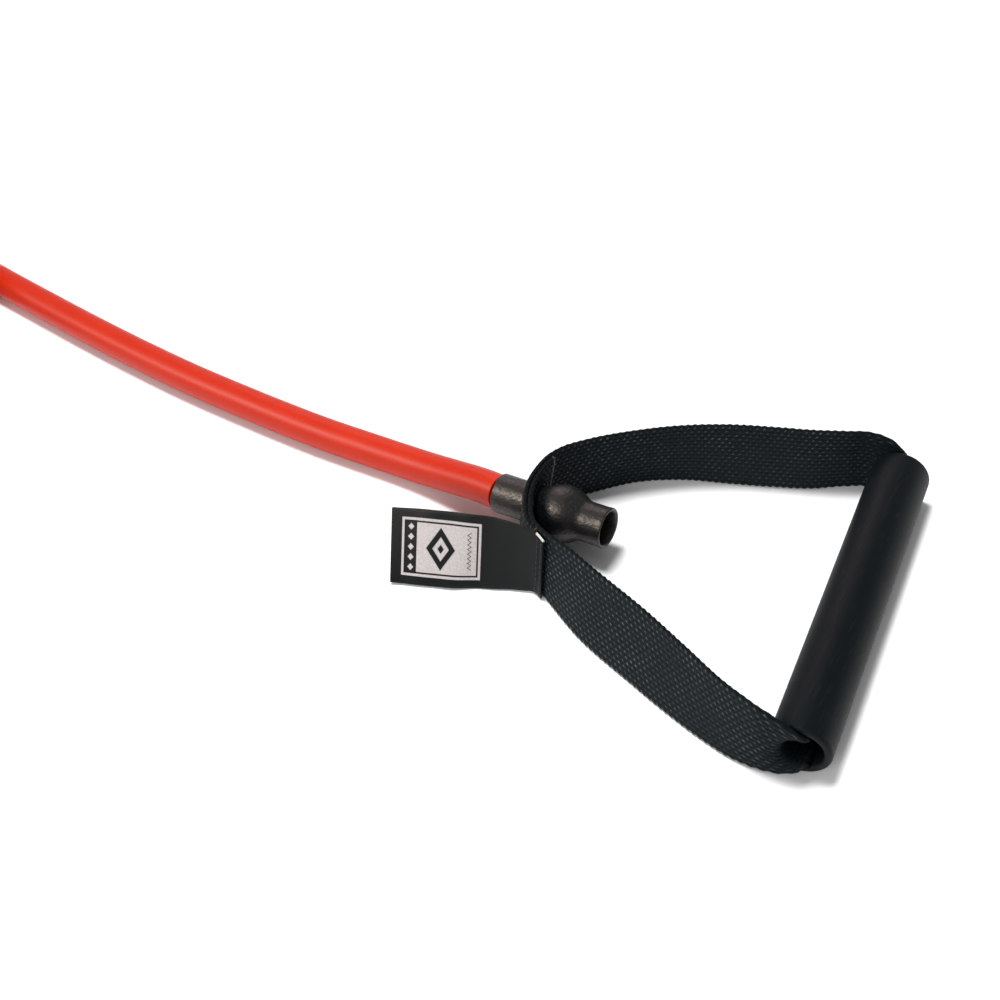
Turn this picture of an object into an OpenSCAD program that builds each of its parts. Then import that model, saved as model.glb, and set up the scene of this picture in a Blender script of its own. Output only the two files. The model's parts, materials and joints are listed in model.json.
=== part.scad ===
// Exercise tube with a webbing loop and a hand grip at each end, lying on the floor.
// The origin is on the floor under the middle of the hole in the near loop, and +X
// runs along the near sleeve towards its grip. Everything is in millimetres.

/* [Tube] */
// Outer diameter of the elastic tube
tube_d = 12.5; // [11:0.1:13]
// Bore of the elastic tube where it isn't stretched
tube_bore_d = 6; // [4:0.5:8]

/* [Sleeve] */
// Thickness of the rubber sleeve
sleeve_wall = 0.85; // [0.6:0.05:1.2]
// How far the sleeve reaches back from the webbing hole
sleeve_back = 13.5; // [10:0.5:18]
// Where the middle of the ball sits in front of the webbing hole
ball_x = 11.8; // [11:0.1:13]
// Outer diameter of the bulge over the ball
bulge_d = 20; // [18:0.5:21]
// Diameter of the plug ball itself
ball_d = 15; // [12:0.5:15.5]
// How far the open mouth reaches in front of the webbing hole
mouth_x = 29.5; // [27:0.5:34]
// Bore of the open mouth
mouth_bore_d = 11.2; // [9:0.2:11.6]
// Depth of the open mouth
mouth_depth = 7; // [4:0.5:8]

/* [Webbing] */
// Width of the webbing
webbing_w = 25.4; // [24:0.2:26]
// Thickness of one layer of webbing
webbing_t = 1.8; // [1.4:0.1:2]
// Diameter of the hole punched through both layers
hole_d = 14.8; // [14.6:0.1:16]
// Width that the webbing is folded to where it enters the grip
mouth_w = 12.8; // [11:0.2:13]

/* [Grip] */
// Length of the grip
grip_len = 128; // [120:1:130]
// Outer diameter of the grip
grip_d = 20; // [19:0.5:20]
// Wall of the grip
grip_wall = 2.6; // [2.2:0.1:2.8]
// Distance from the webbing hole to the grip's axis
grip_x = 115; // [112:1:118]

/* [Lie] */
// How far the near loop is swung sideways, in degrees
near_swing = 7.5; // [0:0.5:8]
// How far the near grip has slid along its webbing
near_slide = -9; // [-9:1:-7]
// Place of the far webbing hole along the floor
far_x = -476; // [-490:1:-476]
// Place of the far webbing hole across the floor
far_y = 10; // [6:1:14]

/* [Label] */
// Length of the ribbon label
label_len = 55; // [45:1:60]
// Width of the ribbon label
label_w = 25.6; // [22:0.2:26]
// Thickness of the doubled ribbon
label_t = 0.8; // [0.6:0.1:1]
// How far the label leans back from upright, in degrees
label_lean = 32; // [20:1:40]

/* [Coil] */
// Radius of the middle line of the coiled turns
coil_r = 61; // [60:0.5:62]
// Place of the coil's middle along the floor
coil_x = -345; // [-345:1:-344]
// Place of the coil's middle across the floor
coil_y = -21; // [-22:1:-21]
// Turns that lie on each other where the tie holds them
coil_layers = 3; // [3:1:3]
// Thickness of the coil tie
tie_t = 1; // [0.8:0.1:1.2]
// Width of the coil tie
tie_w = 16; // [12:1:20]

/* [Hidden] */
$fn = 64;

rubber_black = [0.12, 0.11, 0.11];
tube_red = [0.86, 0.22, 0.12];
webbing_black = [0.07, 0.08, 0.09];
grip_black = [0.15, 0.14, 0.14];
ribbon_black = [0.10, 0.11, 0.12];
thread_grey = [0.30, 0.30, 0.31];
ball_white = [0.85, 0.85, 0.82];

// Clearance between pieces that fit in each other, and between pieces that turn on each other
fit = 0.05;
turning = 0.35;
layer_gap = 0.05;
axis_z = webbing_w / 2;
grip_r = grip_d / 2;
bore_r = grip_r - grip_wall;
tube_r = tube_d / 2;
sleeve_r = tube_r + sleeve_wall;
// The webbing's two ends stop this far past the hole's middle, and the legs start at split_r from it
end_reach = hole_d / 2 + 4;
split_r = end_reach + 3;
floor_lift = tie_t;

// Route of the tube from the near sleeve to the coil, and from the coil to the far sleeve
run_route = [
    [-13.5, 0, 12.7], [-22, 1.5, 11.6], [-34, 3.2, 9.4], [-46, 4.6, 7.4],
    [-60, 5.4, 6.4], [-76, 5.6, 6.25], [-94, 5.8, 6.25], [-114, 6.8, 6.25],
    [-138, 8.6, 6.25], [-164, 11, 6.25], [-192, 14.6, 6.25], [-222, 19.2, 6.25],
    [-252, 24.4, 6.25], [-280, 29.4, 6.4], [-304, 33.7, 6.8], [-320, 36.5, 7.2],
    [-334.4, 39.1, 7.25],
];
tail_route = [
    [-365.9, 36.3, 32.25], [-383.5, 29.6, 31], [-401, 22.6, 27.5], [-419, 16.3, 22.5],
    [-437, 12, 17.5], [-451, 10.3, 14], [-462.5, 10, 12.7],
];
tube_sides = 10;

// Middle lines of the legs in the loop's own frame, from the webbing hole to the grip's mouth.
// A leg's last points are measured from the middle of the mouth that it enters.
upper_leg = [[0, 0], [0.6, 6], [3, 12], [9.6, 22], [27, 34], [57, 44.8], [82, 50.8]];
lower_leg = [[0, 0], [0.8, -6], [3, -12], [8, -20.5], [22, -31], [57, -51.5], [84, -66.5]];
mouth_turn = [[-17.2, 1.4], [-11.6, 4.6], [-8.2, 5], [-6.4, 3.4], [-6.2, 2]];
leg_taper_x = [84, 103];
curl_r = 5.9;
curl_angle = 200;

function unit(v) = v / max(norm(v), 0.0001);
function knot(points, i) = points[min(max(i, 0), len(points) - 1)];

// One point of a smooth line through the knots, between knots i and i + 1
function smooth_point(points, i, t) =
    let (a = knot(points, i - 1), b = knot(points, i), c = knot(points, i + 1), d = knot(points, i + 2))
    0.5 * (2 * b + (c - a) * t + (2 * a - 5 * b + 4 * c - d) * t * t
        + (3 * b - a - 3 * c + d) * t * t * t);
function smooth_line(points, steps = 5) = concat(
    [for (i = [0:len(points) - 2], k = [0:steps - 1]) smooth_point(points, i, k / steps)],
    [points[len(points) - 1]]);
function tangent(points, i) = unit(knot(points, i + 1) - knot(points, i - 1));

// Outline of a strap of even thickness that follows a line in the plane
function side_of(points, off) =
    [for (i = [0:len(points) - 1]) points[i] + off * [-tangent(points, i)[1], tangent(points, i)[0]]];
function reversed(points) = [for (i = [len(points) - 1:-1:0]) points[i]];
function strap_outline(points, t) = concat(side_of(points, t / 2), reversed(side_of(points, -t / 2)));

// A closed solid through a row of rings that all have the same number of points
module loft(rings) {
    sides = len(rings[0]);
    last = len(rings) - 1;
    walls = [for (i = [0:last - 1], k = [0:sides - 1])
        let (n = (k + 1) % sides)
        for (half = [
            [i * sides + k, (i + 1) * sides + k, (i + 1) * sides + n],
            [i * sides + k, (i + 1) * sides + n, i * sides + n],
        ]) half];
    ends = [[for (k = [0:sides - 1]) k], [for (k = [sides - 1:-1:0]) last * sides + k]];
    polyhedron(points = [for (ring = rings) each ring], faces = concat(walls, ends), convexity = 6);
}

// A round tube swept along a route, with one ring of points at each point of the route
module swept_tube(route, r, sides) {
    loft([for (i = [0:len(route) - 1])
        let (along = tangent(route, i), across = unit(cross([0, 0, 1], along)), up = cross(along, across))
        [for (k = [0:sides - 1])
            route[i] + r * (cos(360 * k / sides) * across + sin(360 * k / sides) * up)]]);
}

// Outer radius of the sleeve at x: a neck that swells smoothly over the ball
function ball_chord(x, r) = sqrt(max(0, r * r - (x - ball_x) * (x - ball_x)));
function swell(x, neck, ball) = pow(pow(neck, 8) + pow(ball_chord(x, ball), 8), 1 / 8);
function frange(a, b, n) = [for (i = [0:n]) a + (b - a) * i / n];
swell_from = 1.5;
swell_to = 22;
function skin(inset) = [for (x = frange(swell_from, swell_to, 24))
    [swell(x, sleeve_r - inset, bulge_d / 2 - inset), x]];

// Turned shape whose profile is given as [radius, distance along the sleeve]
module turned(profile) {
    translate([0, 0, axis_z]) rotate([0, 90, 0]) rotate_extrude() polygon(profile);
}

module sleeve() {
    rim = 0.3;
    mouth_r = sleeve_r - 0.1;
    color(rubber_black) turned(concat(
        [[tube_r, -sleeve_back], [sleeve_r - rim, -sleeve_back], [sleeve_r, -sleeve_back + rim]],
        skin(0),
        [[mouth_r, mouth_x - rim], [mouth_r - rim, mouth_x], [mouth_bore_d / 2, mouth_x]],
        [[mouth_bore_d / 2, mouth_x - mouth_depth]],
        reversed(skin(sleeve_wall)),
        [[tube_r, swell_from]]));
}

module tube_end() {
    past_ball = 1.4;
    stop = ball_x + ball_d / 2 + past_ball;
    outer = skin(sleeve_wall + fit);
    inner = [for (x = frange(swell_from, stop, 20)) [swell(x, tube_bore_d / 2, ball_d / 2 + fit), x]];
    color(tube_red) turned(concat(
        [[tube_bore_d / 2, -sleeve_back], [tube_r - fit, -sleeve_back]],
        [for (p = outer) if (p[1] <= stop) p],
        reversed(inner)));
}

module plug_ball() {
    color(ball_white) translate([ball_x, 0, axis_z]) sphere(d = ball_d - fit);
}

// One end of the webbing at the hole: x0 is the side of the layer that faces the tube
module webbing_end(x0, y_from, y_to) {
    color(webbing_black) difference() {
        intersection() {
            translate([x0, y_from, 0]) cube([webbing_t, y_to - y_from, webbing_w]);
            cylinder(r = split_r - turning, h = webbing_w);
        }
        translate([x0 - 1, 0, axis_z]) rotate([0, 90, 0]) cylinder(d = hole_d, h = webbing_t + 2);
    }
}

// The outer layer lies on the inner one, and each ends a little past the hole's far edge
module webbing_end_outer() webbing_end(-1.5 * webbing_t - layer_gap, -end_reach, split_r);
module webbing_end_inner() webbing_end(-webbing_t / 2, -split_r, end_reach);

// Two dense rows of thread that join both layers beside the hole
module bar_tacks() {
    tack = [0.5, 1.6, 19];
    beside = hole_d / 2 + 2.2;
    color(thread_grey) for (side = [-1, 1])
        translate([webbing_t / 2, side * beside - tack[1] / 2, axis_z - tack[2] / 2]) cube(tack);
}

// Everything that swings with the loop is drawn straight ahead and then turned about the hole
module swung(angle) {
    rotate([0, 0, angle]) children();
}

module leg(start, slide, side) {
    mouth = [grip_x, slide + side * grip_len / 2];
    line = smooth_line(concat(start, [for (p = mouth_turn) mouth + [p[0], side * p[1]]]));
    low = grip_r - mouth_w / 2;
    high = grip_r + mouth_w / 2;
    depth = 2 * grip_len;
    color(webbing_black) difference() {
        intersection() {
            linear_extrude(webbing_w) polygon(strap_outline(line, webbing_t));
            translate([0, depth / 2, 0]) rotate([90, 0, 0]) linear_extrude(depth) polygon([
                [0, 0], [leg_taper_x[0], 0], [leg_taper_x[1], low], [grip_x, low],
                [grip_x, high], [leg_taper_x[1], high], [leg_taper_x[0], webbing_w], [0, webbing_w],
            ]);
        }
        translate([0, 0, -1]) cylinder(r = split_r, h = webbing_w + 2);
    }
}

// The webbing inside the grip, curled lengthwise to lie against the side of the bore
module webbing_in_grip(slide) {
    reach = grip_len + 2 * mouth_turn[len(mouth_turn) - 1][1];
    color(webbing_black) translate([grip_x, slide + reach / 2, grip_r]) rotate([90, 0, 0])
        rotate([0, 0, 180 - curl_angle / 2])
            rotate_extrude(angle = curl_angle) translate([curl_r - webbing_t / 2, 0])
                square([webbing_t, reach]);
}

module grip(slide) {
    edge = 1.2;
    half = grip_len / 2;
    color(grip_black) translate([grip_x, slide, grip_r]) rotate([-90, 0, 0])
        rotate_extrude() polygon(concat(
            [[bore_r, half - 0.5], [bore_r, 0.5 - half], [bore_r + 0.5, -half]],
            [for (a = [270:15:360]) [grip_r - edge + edge * cos(a), edge - half + edge * sin(a)]],
            [for (a = [0:15:90]) [grip_r - edge + edge * cos(a), half - edge + edge * sin(a)]],
            [[bore_r + 0.5, half]]));
}

// The label hangs from its seam on the outside of the lower leg and reaches back past the hole
label_seam = [17.3, -25.6];
label_turn = 197;

module on_label() {
    translate([label_seam[0], label_seam[1], 0]) rotate([0, 0, label_turn]) children();
}

// One cross-section of the ribbon: upright at the seam, and leaning back at the free end
function ribbon_ring(share) =
    let (lean = label_lean * share * share * (3 - 2 * share), up = [0, -sin(lean), cos(lean)],
        back = [0, -cos(lean), -sin(lean)], foot = [seam_gap + label_len * share, 0, label_t * sin(lean)])
    [foot, foot + label_w * up, foot + label_w * up + label_t * back, foot + label_t * back];
seam_gap = 1.2;

module label_ribbon() {
    color(ribbon_black) on_label() loft([for (share = frange(0, 1, 3)) ribbon_ring(share)]);
}

module label_stitching() {
    stitch = [2.6, 0.3, 0.6];
    rows = 8;
    first = 2.2;
    color(thread_grey) on_label() for (i = [0:rows - 1])
        translate([1.8, 0, first + i * (label_w - 2 * first - stitch[2]) / (rows - 1)]) cube(stitch);
}

module coil_section(grow) {
    high = coil_layers * tube_d;
    translate([coil_r - tube_r - grow, floor_lift - grow])
        square([tube_d + 2 * grow, high + 2 * grow]);
}

module tube_run() {
    color(tube_red) swept_tube(run_route, tube_r, tube_sides);
}

module tube_tail() {
    color(tube_red) swept_tube(tail_route, tube_r, tube_sides);
}

module tube_coil() {
    color(tube_red) translate([coil_x, coil_y, 0]) rotate_extrude($fn = 96) coil_section(0);
}

// The tie sits where all the layers lie on each other, between the coil's two open ends
tie_angle = 95;

module coil_tie() {
    spread = tie_w / coil_r * 180 / PI;
    color(webbing_black) translate([coil_x, coil_y, 0]) rotate([0, 0, tie_angle - spread / 2])
        rotate_extrude(angle = spread) difference() {
            coil_section(tie_t);
            coil_section(0);
        }
}

module at_far() {
    translate([far_x, far_y, 0]) rotate([0, 0, 180]) children();
}

tube_run();
tube_coil();
tube_tail();
coil_tie();
sleeve();  // near_sleeve
tube_end();  // near_tube_end
plug_ball();  // near_plug_ball
webbing_end_outer();  // near_webbing_end_outer
webbing_end_inner();  // near_webbing_end_inner
bar_tacks();  // near_bar_tacks
swung(near_swing) leg(upper_leg, near_slide, 1);  // near_webbing_upper_leg
swung(near_swing) leg(lower_leg, near_slide, -1);  // near_webbing_lower_leg
swung(near_swing) webbing_in_grip(near_slide);  // near_webbing_in_grip
swung(near_swing) grip(near_slide);  // near_grip
label_ribbon();
label_stitching();
at_far() sleeve();  // far_sleeve
at_far() tube_end();  // far_tube_end
at_far() plug_ball();  // far_plug_ball
at_far() webbing_end_outer();  // far_webbing_end_outer
at_far() webbing_end_inner();  // far_webbing_end_inner
at_far() bar_tacks();  // far_bar_tacks
at_far() leg(upper_leg, near_slide, 1);  // far_webbing_upper_leg
at_far() leg(lower_leg, near_slide, -1);  // far_webbing_lower_leg
at_far() webbing_in_grip(near_slide);  // far_webbing_in_grip
at_far() grip(near_slide);  // far_grip
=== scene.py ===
# %% [markdown]
# # An exercise tube with a handle at each end
# A red elastic tube ends in a black rubber sleeve, and a ball inside the sleeve keeps it from being
# pulled through a hole in a loop of webbing. The webbing runs through a plain plastic hand grip.
# The packed model gives every size and place, and this notebook gives each piece its looks.

# %% Load the frame
import json
import math

import bmesh
import bpy
import numpy as np
from mathutils import Matrix, Vector


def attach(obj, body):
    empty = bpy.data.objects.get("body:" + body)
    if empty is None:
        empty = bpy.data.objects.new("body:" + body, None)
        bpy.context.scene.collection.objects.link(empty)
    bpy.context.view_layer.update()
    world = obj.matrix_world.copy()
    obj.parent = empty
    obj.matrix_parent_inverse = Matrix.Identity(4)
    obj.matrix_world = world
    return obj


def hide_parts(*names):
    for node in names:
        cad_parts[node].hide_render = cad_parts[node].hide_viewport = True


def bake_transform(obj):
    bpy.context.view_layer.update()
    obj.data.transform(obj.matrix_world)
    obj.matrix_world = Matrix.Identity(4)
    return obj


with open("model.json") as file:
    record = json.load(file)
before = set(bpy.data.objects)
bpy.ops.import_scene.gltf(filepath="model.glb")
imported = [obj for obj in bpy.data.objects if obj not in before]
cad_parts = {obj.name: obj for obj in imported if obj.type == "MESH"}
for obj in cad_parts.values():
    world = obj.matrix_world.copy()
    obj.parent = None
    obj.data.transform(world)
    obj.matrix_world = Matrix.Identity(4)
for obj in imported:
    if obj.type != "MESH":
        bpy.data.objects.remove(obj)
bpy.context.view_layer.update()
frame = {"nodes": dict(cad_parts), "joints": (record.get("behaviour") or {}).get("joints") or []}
MM = 0.001
print("nodes in the frame:", len(frame["nodes"]))

# %% [markdown]
# ## The camera
# The object is looked down on from a little over forty degrees, with the camera rolled slightly, so
# the loop lies to the right and the tube leaves the view on the left. A camera looks along its
# own -Z, so its turn is found from the direction of sight, and the roll is added about that line.

# %% Camera
EYE = Vector((0.2355, -0.3435, 0.3963))
AIM = Vector((-0.0199, 0.0079, 0.0))
ROLL = -7.566
LENS = 58.59


def add_camera():
    data = bpy.data.cameras.new("camera")
    data.lens = LENS
    data.sensor_width = 36.0
    camera = bpy.data.objects.new("camera", data)
    bpy.context.scene.collection.objects.link(camera)
    turn = (AIM - EYE).to_track_quat("-Z", "Y").to_matrix().to_4x4()
    camera.matrix_world = Matrix.Translation(EYE) @ turn @ Matrix.Rotation(math.radians(ROLL), 4, "Z")
    bpy.context.scene.camera = camera
    return camera


print("camera at", tuple(round(v, 3) for v in add_camera().location))

# %% [markdown]
# ## The elastic tube
# The tube is a free cord: one open curve with a round bevel, made a mesh once its line is right,
# so that its size is the mesh's own. It leaves the near sleeve, sinks to the floor and runs away in
# a long soft bow. The rest of its length is wound into a neat coil, as for storage, and comes down
# to the far sleeve. The straight stretches are listed points. The coil is a loop: it goes
# round, and lifts by one diameter just before each turn ends.

# %% Route of the tube
TUBE_D = 12.5 * MM
COIL_MIDDLE = Vector((-0.345, -0.021, 0.0))
COIL_R = 0.061
COIL_LOW = 0.00725
# The coil's angles are in degrees.
COIL_FROM, COIL_TURNED = 80, 750
COIL_STEP = 15
LIFT_OVER = 70

# Points of the straight stretches, in millimetres.
RUN = [
    (-13.5, 0, 12.7), (-22, 1.5, 11.6), (-34, 3.2, 9.4), (-46, 4.6, 7.4),
    (-60, 5.4, 6.4), (-76, 5.6, 6.25), (-94, 5.8, 6.25), (-114, 6.8, 6.25),
    (-138, 8.6, 6.25), (-164, 11, 6.25), (-192, 14.6, 6.25), (-222, 19.2, 6.25),
    (-252, 24.4, 6.25), (-280, 29.4, 6.4), (-304, 33.7, 6.8), (-320, 36.5, 7.2),
]
TAIL = [
    (-383.5, 29.6, 31), (-401, 22.6, 27.5), (-419, 16.3, 22.5),
    (-437, 12, 17.5), (-451, 10.3, 14), (-462.5, 10, 12.7),
]


def smoothstep(t):
    t = min(max(t, 0.0), 1.0)
    return t * t * (3 - 2 * t)


def coil_height(turned):
    layer, into = divmod(turned, 360)
    return COIL_LOW + TUBE_D * (layer + smoothstep((into - 360 + LIFT_OVER) / LIFT_OVER))


def coil_point(turned):
    angle = math.radians(COIL_FROM + turned)
    ring = Vector((math.cos(angle), math.sin(angle), 0)) * COIL_R
    return COIL_MIDDLE + ring + Vector((0, 0, coil_height(turned)))


def tube_route():
    coil = [coil_point(turned) for turned in range(0, COIL_TURNED + 1, COIL_STEP)]
    return [Vector(p) * MM for p in RUN] + coil + [Vector(p) * MM for p in TAIL]


def tube_curve(name, route, diameter):
    curve = bpy.data.curves.new(name, "CURVE")
    curve.dimensions = "3D"
    curve.resolution_u = 5
    curve.bevel_depth = diameter / 2
    curve.bevel_resolution = 11
    curve.use_fill_caps = True
    spline = curve.splines.new("BEZIER")
    spline.bezier_points.add(len(route) - 1)
    for point, place in zip(spline.bezier_points, route):
        point.co = place
        point.handle_left_type = "AUTO"
        point.handle_right_type = "AUTO"
    draft = bpy.data.objects.new(name + "_draft", curve)
    bpy.context.scene.collection.objects.link(draft)
    return draft


def mesh_of(draft, name):
    """The mesh of a curve object, which is then removed."""
    shape = draft.evaluated_get(bpy.context.evaluated_depsgraph_get())
    mesh = bpy.data.meshes.new_from_object(shape)
    mesh.name = name
    piece = bpy.data.objects.new(name, mesh)
    bpy.context.scene.collection.objects.link(piece)
    bpy.data.objects.remove(draft)
    return piece


route = tube_route()
tube = mesh_of(tube_curve("elastic_tube", route, TUBE_D), "elastic_tube")
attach(tube, "tube")
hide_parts("tube_run", "tube_coil", "tube_tail")
route_length = sum((b - a).length for a, b in zip(route, route[1:]))
print("tube route:", len(route), "points,", round(route_length, 3), "m")

# %% [markdown]
# ## Floor and light
# A plain white floor under a big soft key light, high up and a little to the upper left, gives the
# short soft shadow that falls to the lower right, and a low fill from the front evens out the
# tube's red. Both are hidden from reflections. Two more lights are seen only in reflections: a
# narrow strip that draws the slim highlight along the middle of the tube, and a weak panel behind
# that draws the broad band on the grip. A pale world fills the rest, so black keeps its depth.

# %% Stage
FLOOR_HALF = 4.0
FLOOR_DROP = 0.2 * MM


def area_light(name, place, aim, size, power, tint=(1, 1, 1)):
    data = bpy.data.lights.new(name, "AREA")
    data.shape = "RECTANGLE"
    data.size, data.size_y = size
    data.energy = power
    data.color = tint
    light = bpy.data.objects.new(name, data)
    light.location = place
    light.rotation_euler = (Vector(aim) - Vector(place)).to_track_quat("-Z", "Y").to_euler()
    bpy.context.scene.collection.objects.link(light)
    return light


def add_floor():
    bm = bmesh.new()
    bmesh.ops.create_grid(bm, x_segments=1, y_segments=1, size=FLOOR_HALF)
    mesh = bpy.data.meshes.new("floor")
    bm.to_mesh(mesh)
    bm.free()
    floor = bpy.data.objects.new("floor", mesh)
    floor.location.z = -FLOOR_DROP
    bpy.context.scene.collection.objects.link(floor)
    white = bpy.data.materials.new("floor_white")
    white.use_nodes = True
    shader = white.node_tree.nodes["Principled BSDF"]
    shader.inputs["Base Color"].default_value = (0.93, 0.93, 0.93, 1)
    shader.inputs["Roughness"].default_value = 0.9
    shader.inputs["Specular IOR Level"].default_value = 0.0
    mesh.materials.append(white)


def set_world(strength):
    world = bpy.data.worlds.new("pale_room")
    world.use_nodes = True
    world.node_tree.nodes["Background"].inputs["Color"].default_value = (1, 1, 1, 1)
    world.node_tree.nodes["Background"].inputs["Strength"].default_value = strength
    bpy.context.scene.world = world


add_floor()
set_world(0.3)
key = area_light("key", place=(-0.85, 0.55, 4.4), aim=(0, 0, 0), size=(1.2, 1.2), power=222)
key.visible_glossy = False
fill = area_light("fill", place=(0.1, -1.3, 0.7), aim=(0, 0, 0), size=(0.9, 0.9), power=10)
fill.visible_glossy = False
strip = area_light(
    "strip", place=(-0.75, -0.55, 0.7), aim=(-0.75, 0, 0), size=(1.1, 0.08), power=17, tint=(1.0, 0.93, 0.84)
)
strip.visible_diffuse = False
panel = area_light(
    "panel", place=(-0.5, 0.75, 0.7), aim=(0.1, 0, 0), size=(0.5, 0.5), power=2.6, tint=(1.0, 0.78, 0.8)
)
panel.visible_diffuse = False
bpy.context.scene.view_settings.view_transform = "Standard"

# %% [markdown]
# ## Shader maths
# A material is a small graph of nodes. Written out, the links hide the idea, so a Wire holds one
# socket and lets ordinary + - * / add Math nodes.

# %% Wire
class Wire:
    """One output socket, which can be used in an expression."""

    def __init__(self, finish, socket):
        self.finish = finish
        self.socket = socket

    def math(self, operation, *values):
        return self.finish.node("ShaderNodeMath", {"operation": operation}, dict(enumerate(values)))

    def __add__(self, other):
        return self.math("ADD", self, other)

    def __sub__(self, other):
        return self.math("SUBTRACT", self, other)

    def __rsub__(self, other):
        return self.math("SUBTRACT", other, self)

    def __mul__(self, other):
        return self.math("MULTIPLY", self, other)

    def __truediv__(self, other):
        return self.math("DIVIDE", self, other)

    def __rtruediv__(self, other):
        return self.math("DIVIDE", other, self)

    def __abs__(self):
        return self.math("ABSOLUTE", self)

    __radd__ = __add__
    __rmul__ = __mul__

    def floor(self):
        return self.math("FLOOR", self)

    def fract(self):
        return self.math("FRACT", self)

    def sine(self):
        return self.math("SINE", self)

    def least(self, other):
        return self.math("MINIMUM", self, other)

    def most(self, other):
        return self.math("MAXIMUM", self, other)

    def below(self, edge, soft):
        """1 where the wire is under edge, falling to 0 over soft."""
        return self.finish.node(
            "ShaderNodeMapRange", {"interpolation_type": "SMOOTHSTEP"},
            {"Value": self, "From Min": edge - soft, "From Max": edge + soft, "To Min": 1.0, "To Max": 0.0},
        )


print("a wire also knows:", [name for name in vars(Wire) if not name.startswith("_")])

# %% [markdown]
# A Finish holds one material. It adds any other node by its type, and feeds the wires that vary over
# the surface into the shader. What is the same all over is set on the shader's own sockets. Colours
# are named as a screen shows them, and are made linear, because a shader adds light up.

# %% Finish
class Finish:
    """One material: its node tree, its shader, and the nodes that feed it."""

    def __init__(self, name, **constants):
        self.material = bpy.data.materials.new(name)
        self.material.use_nodes = True
        self.tree = self.material.node_tree
        self.shader = self.tree.nodes["Principled BSDF"]
        for socket, value in constants.items():
            self.shader.inputs[socket.replace("_", " ")].default_value = value

    def node(self, kind, settings=None, values=None, out=0):
        made = self.tree.nodes.new(kind)
        for key, value in (settings or {}).items():
            setattr(made, key, value)
        for key, value in (values or {}).items():
            if isinstance(value, Wire):
                self.tree.links.new(value.socket, made.inputs[key])
            else:
                made.inputs[key].default_value = value
        return Wire(self, made.outputs[out])

    def place(self):
        return self.node("ShaderNodeTexCoord", out="Object")

    def flat(self):
        """The two coordinates of a woven piece, in metres along and across it."""
        flat_map = self.node("ShaderNodeUVMap", {"uv_map": "flat"})
        along = self.node("ShaderNodeSeparateXYZ", None, {0: flat_map})
        across = Wire(self, along.socket.node.outputs[1])
        return along, across

    def noise(self, size, detail=2.0, where=None, rough=0.5):
        """Cloudy noise whose patches are about size metres across."""
        return self.node(
            "ShaderNodeTexNoise", None,
            {"Vector": where or self.place(), "Scale": 1 / size, "Detail": detail, "Roughness": rough},
        )

    def mix(self, mask, first, second):
        """A colour between first and second."""
        settings = {"data_type": "RGBA", "clamp_factor": True}
        return self.node("ShaderNodeMix", settings, {0: mask, 6: first, 7: second}, out=2)

    def bump(self, height, distance, strength=1.0):
        values = {"Height": height, "Distance": distance, "Strength": strength}
        return self.node("ShaderNodeBump", None, values)

    def feed(self, **wires):
        for socket, wire in wires.items():
            self.tree.links.new(wire.socket, self.shader.inputs[socket.replace("_", " ")])
        return self.material


def linear(value):
    """A screen's value, from 0 to 255, as linear light, by the sRGB curve."""
    share = value / 255
    return share / 12.92 if share < 0.04045 else ((share + 0.055) / 1.055) ** 2.4


def colour(red, green, blue):
    """A colour as a screen shows it, as the linear one that a shader takes."""
    return linear(red), linear(green), linear(blue), 1


print("mid grey in linear light:", round(linear(128), 3))

# %% [markdown]
# ## Finish of the tube
# Dipped latex has a satin skin with faint clouds of powder on it. Two sizes of noise vary its red a
# little and its gloss more, and a very shallow bump breaks the highlight up as the real skin does.

# %% Tube rubber
def tube_rubber():
    finish = Finish("tube_rubber", IOR=1.5, Specular_IOR_Level=0.23)
    clouds = finish.noise(0.03, 3)
    powder = finish.noise(0.0012, 2)
    red = finish.mix(clouds, colour(174, 24, 3), colour(190, 36, 7))
    red = finish.mix(powder * 0.1, red, colour(232, 104, 60))
    skin = finish.noise(0.0006, 2)
    return finish.feed(
        Base_Color=red, Roughness=0.33 + clouds * 0.14 + powder * 0.08,
        Normal=finish.bump(skin + clouds * 2, 0.00005, 0.5),
    )


tube.data.materials.append(tube_rubber())
print("tube finish:", tube.data.materials[0].name)

# %% [markdown]
# ## From a bmesh to a piece
# Every modelled piece ends the same way: its bmesh becomes a mesh, faces are shaded smooth except
# across sharp edges, and the object is linked with its material. The sizes that several pieces
# share are named here once.

# %% Pieces
SLEEVE_R = 7.1 * MM
TUBE_R = TUBE_D / 2
AXIS_Z = 12.7 * MM
BALL_X = 11.8 * MM
BULGE_R = 10 * MM
STRAP_W = 25.4 * MM
STRAP_T = 1.8 * MM
GRIP_R = 10 * MM
BORE_R = 7.4 * MM
GRIP_LEN = 128 * MM
GRIP_MIDDLE = Vector((115, -9, 10)) * MM
NEAR_SWING = math.radians(7.5)

joint_at = {joint["name"]: Vector(joint["pos_m"]) for joint in frame["joints"]}
far_hole = joint_at["far_swivel"]
EYE_PLACE = {
    "near": Matrix.Identity(4),
    "far": Matrix.Translation((far_hole.x, far_hole.y, 0)) @ Matrix.Rotation(math.pi, 4, "Z"),
}
LOOP_PLACE = {"near": Matrix.Rotation(NEAR_SWING, 4, "Z"), "far": EYE_PLACE["far"]}


def piece_from(bm, name, *materials, sharp=40):
    mesh = bpy.data.meshes.new(name)
    bm.to_mesh(mesh)
    bm.free()
    mesh.shade_smooth()
    mesh.set_sharp_from_angle(angle=math.radians(sharp))
    piece = bpy.data.objects.new(name, mesh)
    bpy.context.scene.collection.objects.link(piece)
    for material in materials:
        mesh.materials.append(material)
    return piece


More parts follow.
